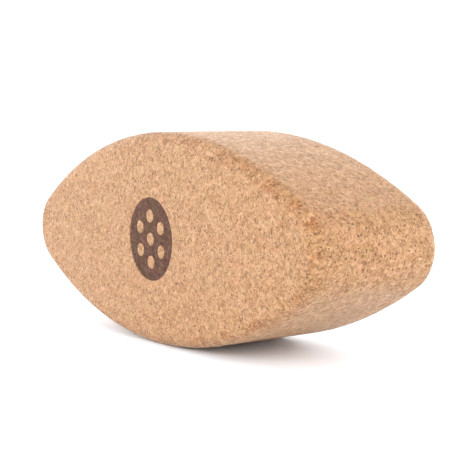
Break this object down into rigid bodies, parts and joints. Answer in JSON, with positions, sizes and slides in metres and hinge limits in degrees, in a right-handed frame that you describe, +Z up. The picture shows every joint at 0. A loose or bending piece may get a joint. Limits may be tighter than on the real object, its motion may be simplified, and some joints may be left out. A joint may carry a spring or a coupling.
{
  "type": "cork balance block",
  "caption": "Lens-shaped block of agglomerated cork that rocks on its curved belly, with a round emblem burnt into one flat face.",
  "frame": {"origin": "on the floor under the middle of the block, where its belly rests", "axes": "+X along the length from tip to tip, +Y across the width from the front face with the emblem to the plain rear face, +Z up"},
  "size_m": [0.3, 0.078, 0.12],
  "materials": {
    "cork": "sanded agglomerated cork, matt, with fine and coarse granules and small pits",
    "char": "cork burnt dark brown, matt"
  },
  "bodies": {
    "root": {"cork_block": "cork", "burnt_emblem": "char"}
  },
  "joints": []
}
